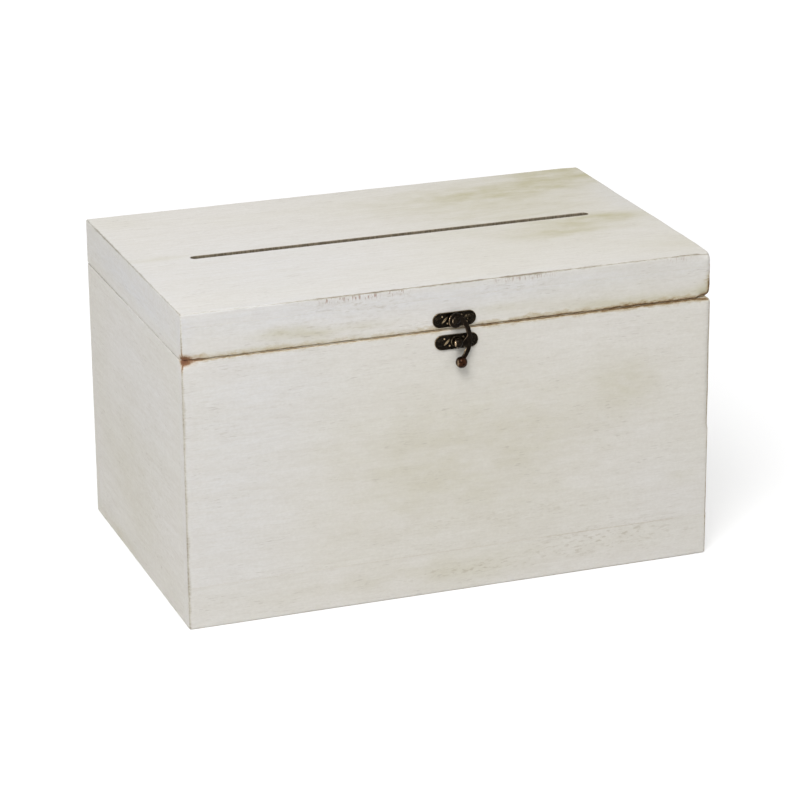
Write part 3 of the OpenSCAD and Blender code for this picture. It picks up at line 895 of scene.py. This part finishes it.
def store_wear_and_highlights(mesh, crests_and_highlights):
    """Marks how far each point stands above or below the shape round it.

    crests_and_highlights holds a least value at each point, for the rubbing and the painted
    highlight.
    """
    points = coordinates(mesh)
    around = spread(mesh, points, CREST_PASSES)
    height = ((points - around) * vertex_normals(mesh)).sum(1)
    height = spread(mesh, height, HEIGHT_PASSES)[:, 0]
    store(mesh, ATTR_WEAR_AND_PAINTED_LIGHT, np.maximum(crests_and_highlights, np.clip(height / RUBBED_DEPTH, 0, 1)))
    store(mesh, ATTR_HOLLOW, np.clip(-height / RUBBED_DEPTH, 0, 1))


# A pressed leaf on each side of a plate, and its buds as (across, up, radius), in
# millimetres from the plate's middle
LEAF_FROM = (7.9, 1.9)
LEAF_TO = (4.1, -1.9)
LEAF_HALF_WIDTH = 1.15
LEAF_HEIGHT = 0.42
VEIN_WIDTH = 0.16
VEIN_DEPTH = 0.55           # as a share of the leaf's height
BUDS = ((7.6, -2.2, 0.75), (4.3, 2.2, 0.75))
BUD_HEIGHT = 0.34
RELIEF_WEAR_AND_HIGHLIGHT = (1.9, 0.6)  # on a plate's left and right leaf, the left one higher as painted highlight
PLATE_THICKNESS = 0.8
PLATE_SLACK = 0.05          # how far a point may lie off the plate's face

# The hook's ball, which is handled: how far it reaches from its tip, the blend into
# the arm above, and the slice that finds the tip, in millimetres
BALL_HEIGHT = 7.0
BALL_BLEND = 2.0
TIP_SLICE = 0.2

# Painted highlight: bright bare metal on the latch's faces that look left and forward,
# towards the lamps on the left: how strong, how far left a face has to look before it
# begins, over what range it grows, how far forward the face has to look, and what is
# taken off where the metal is handled
PAINTED_HIGHLIGHT = 1.15
HIGHLIGHT_LEFTWARDS = 0.45
HIGHLIGHT_BLEND = 0.3
HIGHLIGHT_FORWARDS = 0.25
HIGHLIGHT_OFF_HANDLED = 0.3


def pressed_relief(across, up):
    """Height of the leaves and buds pressed into a plate, in millimetres."""
    height = np.zeros(len(across))
    for turn in (-1, 1):
        u, v = turn * across, turn * up
        start = np.array(LEAF_FROM)
        run = np.array(LEAF_TO) - start
        length = np.hypot(*run)
        along = ((u - start[0]) * run[0] + (v - start[1]) * run[1]) / length
        aside = ((u - start[0]) * run[1] - (v - start[1]) * run[0]) / length
        share = np.clip(along / length, 0, 1)
        half_width = LEAF_HALF_WIDTH * np.sin(math.pi * share) ** 0.7 + 1e-6
        blade = np.clip(1 - np.abs(aside) / half_width, 0, 1)
        vein = 1 - VEIN_DEPTH * np.exp(-(aside / VEIN_WIDTH) ** 2)
        height = np.maximum(height, LEAF_HEIGHT * blade ** 0.6 * vein)
        for bud_u, bud_v, radius in BUDS:
            away = np.hypot(u - bud_u, v - bud_v) / radius
            height = np.maximum(height, BUD_HEIGHT * np.sqrt(np.clip(1 - away ** 2, 0, 1)))
    return height


def press_relief(node, points, normals):
    """Raises a plate's leaves and returns how hard each point is rubbed, the left leaf more as
    painted highlight.
    """
    low, high = points.min(0), points.max(0)
    middle = (low + high) / 2
    face = low[Y] if node == "catch_plate" else high[Y] - PLATE_THICKNESS
    facing = (normals[:, Y] < -0.5) & (points[:, Y] > face - PLATE_SLACK)
    across = points[:, X] - middle[X]
    raised = pressed_relief(across, points[:, Z] - middle[Z]) * facing
    points[:, Y] -= raised
    return np.where(across < 0, *RELIEF_WEAR_AND_HIGHLIGHT) * (raised / LEAF_HEIGHT) ** 2


def handled_share(points, lowest):
    """1 on the hook's ball, falling to 0 on the arm above it."""
    tip = points[points[:, Z] < lowest + TIP_SLICE].mean(0)
    from_tip = np.linalg.norm(points - tip, axis=1)
    return np.clip((BALL_HEIGHT + BALL_BLEND / 2 - from_tip) / BALL_BLEND, 0, 1)


def painted_highlight_share(normals, handled):
    """Painted highlight on the latch's metal, by the way its faces look."""
    leftwards = np.clip((-normals[:, X] - HIGHLIGHT_LEFTWARDS) / HIGHLIGHT_BLEND, 0, 1)
    forwards = normals[:, Y] < -HIGHLIGHT_FORWARDS
    return PAINTED_HIGHLIGHT * leftwards * forwards * (1 - HIGHLIGHT_OFF_HANDLED * handled)


def build_casting(node, material, seed, voxel, passes, pit_depth):
    """Stands for a metal node: its own shape, softened, pitted and rubbed, with painted
    highlights on the latch.
    """
    mesh = remeshed(node, voxel, passes)
    points = coordinates(mesh)
    normals = vertex_normals(mesh)
    low, high = points.min(0), points.max(0)
    crests_and_highlights = np.zeros(len(points))
    if node in PLATE_NODES:
        crests_and_highlights = press_relief(node, points, normals)
    pits = np.abs(noise_at(points, PIT_SIZE, seed) * pit_depth)
    points = np.clip(points - pits[:, None] * normals, low, high)
    set_coordinates(mesh, points)
    handled = np.zeros(len(points))
    if node == "latch_hook":
        handled = handled_share(points, low[Z])
    # painted highlight on the latch's faces that look left and forward
    if node in LATCH_METAL:
        crests_and_highlights = np.maximum(crests_and_highlights, painted_highlight_share(normals, handled))
    store(mesh, ATTR_HANDLED, handled)
    store_wear_and_highlights(mesh, crests_and_highlights)
    mesh.transform(Matrix.Scale(MM, 4))
    add_piece(node + "_cast", mesh, node, material)


# Patina, bare metal, how far that is polished, and its least roughness
BRONZES = {
    "antique_bronze": (srgb(11, 7, 3), srgb(208, 184, 146), 0.62, 0.16),
    "worn_bronze": (srgb(13, 8, 4), srgb(208, 182, 150), 0.66, 0.1),
}


def bronze_material(name, patina, metal, polish, roughness):
    """Antique bronze: black patina in the hollows, bare metal on the crests and where a highlight
    is painted.
    """
    g = Graph(name)
    place = g.scaled(g.object_place(), (1 / MM, 1 / MM, 1 / MM))
    blotches = g.noise(place, 0.55, 4, 0.6)
    specks = g.noise(place, 3.2, 3, 0.6)
    handled = g.math("MULTIPLY", g.attribute(ATTR_HANDLED), g.step(blotches, 0.3, 0.6))
    crest_and_highlight = g.math("ADD", g.attribute(ATTR_WEAR_AND_PAINTED_LIGHT), g.math("MULTIPLY", specks, 0.5))
    wear_and_painted_light = g.math("MULTIPLY", g.step(crest_and_highlight, 0.8, 1.4), polish, clamp=True)
    ground = g.mix(g.step(blotches, 0.35, 0.68), patina, part_way(patina, metal, 0.016))
    ground = g.mix(g.math("MULTIPLY", handled, 0.5), ground, srgb(70, 38, 22))
    colour = g.mix(wear_and_painted_light, ground, metal)
    hollow = g.math("MULTIPLY", g.attribute(ATTR_HOLLOW), 0.85)
    colour = g.mix(hollow, colour, srgb(8, 6, 4))
    g.shade("Base Color", colour)
    bare = g.math("MAXIMUM", wear_and_painted_light, g.math("MULTIPLY", handled, 0.7))
    g.shade("Metallic", g.span(bare, 0.5, 1.0))
    g.shade("Specular IOR Level", 0.06)
    g.shade("Roughness", g.span(blotches, roughness, roughness + 0.16))
    g.bump(g.math("ADD", g.math("MULTIPLY", specks, 0.6), blotches), 0.25, 0.05 * MM)
    return g.material


# ------------------------------------------------------------- camera, light

WHITE = (1, 1, 1, 1)

# Where the photo was taken from; angles are in degrees
CAMERA_AT = (-0.6396, -1.7716, 0.7576)
CAMERA_AZIMUTH = 19.95
CAMERA_ELEVATION = 19.60
CAMERA_ROLL = -0.46
FOCAL_PIXELS = 3240.6
FRAME_PIXELS = 800
SENSOR_MM = 36.0


def make_camera():
    """The camera that sees the box as the photo does."""
    azimuth, elevation, roll = (math.radians(a) for a in
                                (CAMERA_AZIMUTH, CAMERA_ELEVATION, CAMERA_ROLL))
    data = bpy.data.cameras.new("camera")
    data.sensor_width = SENSOR_MM
    data.lens = FOCAL_PIXELS / FRAME_PIXELS * SENSOR_MM
    data.clip_end = 20
    camera = bpy.data.objects.new("camera", data)
    turn = (Matrix.Rotation(-azimuth, 4, "Z")
            @ Matrix.Rotation(math.pi / 2 - elevation, 4, "X")
            @ Matrix.Rotation(roll, 4, "Z"))
    camera.matrix_world = Matrix.Translation(CAMERA_AT) @ turn
    bpy.context.scene.collection.objects.link(camera)
    bpy.context.scene.camera = camera


# Round lamps aimed at the middle of the box: name, place, diameter, watts. The glint
# is low on the left for the edges of the bronze, and the back lamp is low so that it
# leaves the top alone.
LAMPS = (
    ("key", (-0.90, -1.30, 1.90), 1.3, 44),
    ("fill", (1.7, -1.5, 1.1), 1.2, 3.4),
    ("glint", (-1.55, -0.35, 0.45), 0.14, 2.2),
    ("back", (0.5, 2.2, 0.36), 1.0, 6),
)
SKY_STRENGTH = 0.48
FLOOR_ALBEDO = 0.6
FLOOR_REACH = 12.0
# What is added to the floor's own shade where it shows as the backdrop, near the
# box and far off, and the distances between which it grows
BACKDROP_GLOW = (0.5, 0.7)
GLOW_REACH = (0.5, 2.2)


def add_lamp(name, at, size, watts):
    """Round lamp aimed at the middle of the box."""
    data = bpy.data.lights.new(name, "AREA")
    data.shape = "DISK"
    data.size = size
    data.energy = watts
    lamp = bpy.data.objects.new(name, data)
    lamp.location = at
    aim = Vector((0, 0, (BODY.low[Z] + LID.high[Z]) / 2)) - Vector(at)
    lamp.rotation_euler = aim.to_track_quat("-Z", "Y").to_euler()
    bpy.context.scene.collection.objects.link(lamp)


def shows_backdrop(tree):
    """1 for rays that show the white backdrop: the camera's, mirrored or not."""
    path = tree.nodes.new("ShaderNodeLightPath")
    shows = path.outputs["Is Camera Ray"]
    for ray in ("Is Glossy Ray", "Is Transmission Ray"):
        either = tree.nodes.new("ShaderNodeMath")
        either.operation = "MAXIMUM"
        tree.links.new(shows, either.inputs[0])
        tree.links.new(path.outputs[ray], either.inputs[1])
        shows = either.outputs[0]
    return shows


def make_light():
    """The lamps, an even white sky, and the white backdrop."""
    for lamp in LAMPS:
        add_lamp(*lamp)
    world = bpy.data.worlds.new("studio")
    world.use_nodes = True
    tree = world.node_tree
    sky = tree.nodes["Background"]
    sky.inputs["Color"].default_value = WHITE
    sky.inputs["Strength"].default_value = SKY_STRENGTH
    white = tree.nodes.new("ShaderNodeBackground")
    white.inputs["Color"].default_value = WHITE
    white.inputs["Strength"].default_value = 1.0
    mixer = tree.nodes.new("ShaderNodeMixShader")
    tree.links.new(shows_backdrop(tree), mixer.inputs[0])
    tree.links.new(sky.outputs[0], mixer.inputs[1])
    tree.links.new(white.outputs[0], mixer.inputs[2])
    tree.links.new(mixer.outputs[0], tree.nodes["World Output"].inputs["Surface"])
    bpy.context.scene.world = world


def floor_material():
    """Matt white that shows as a white backdrop but keeps the box's shadow."""
    g = Graph("floor")
    g.shade("Base Color", (FLOOR_ALBEDO, FLOOR_ALBEDO, FLOOR_ALBEDO, 1))
    g.shade("Roughness", 0.9)
    g.shade("Specular IOR Level", 0.1)
    g.shade("Emission Color", WHITE)
    length = g.tree.nodes.new("ShaderNodeVectorMath")
    length.operation = "LENGTH"
    g.set(length.inputs[0], g.object_place())
    far = g.step(length.outputs["Value"], *GLOW_REACH)
    glow = g.math("MULTIPLY", shows_backdrop(g.tree), g.span(far, *BACKDROP_GLOW))
    g.shade("Emission Strength", glow)
    return g.material


def make_floor():
    """A wide floor under the box, which is staging."""
    corners = [(x * FLOOR_REACH, y * FLOOR_REACH, 0)
               for x, y in ((-1, -1), (1, -1), (1, 1), (-1, 1))]
    mesh = bpy.data.meshes.new("floor")
    mesh.from_pydata(corners, [], [(0, 1, 2, 3)])
    mesh.materials.append(floor_material())
    floor = bpy.data.objects.new("floor", mesh)
    bpy.context.scene.collection.objects.link(floor)


make_camera()
make_light()
make_floor()

whitewash = whitewash_material()
for number, board in enumerate(BODY_BOARDS + LID_BOARDS):
    build_board(board, number, whitewash)
build_board("base_panel", len(BODY_BOARDS + LID_BOARDS), base_board_material())

bronzes = {name: bronze_material(name, *look) for name, look in BRONZES.items()}
for nodes, first_seed, voxel, passes, pit_depth in CASTINGS:
    for seed, metal_node in enumerate(nodes, first_seed):
        build_casting(metal_node, bronzes[SLOT_OF[metal_node]], seed, voxel, passes, pit_depth)

bpy.context.scene.view_settings.view_transform = "Standard"
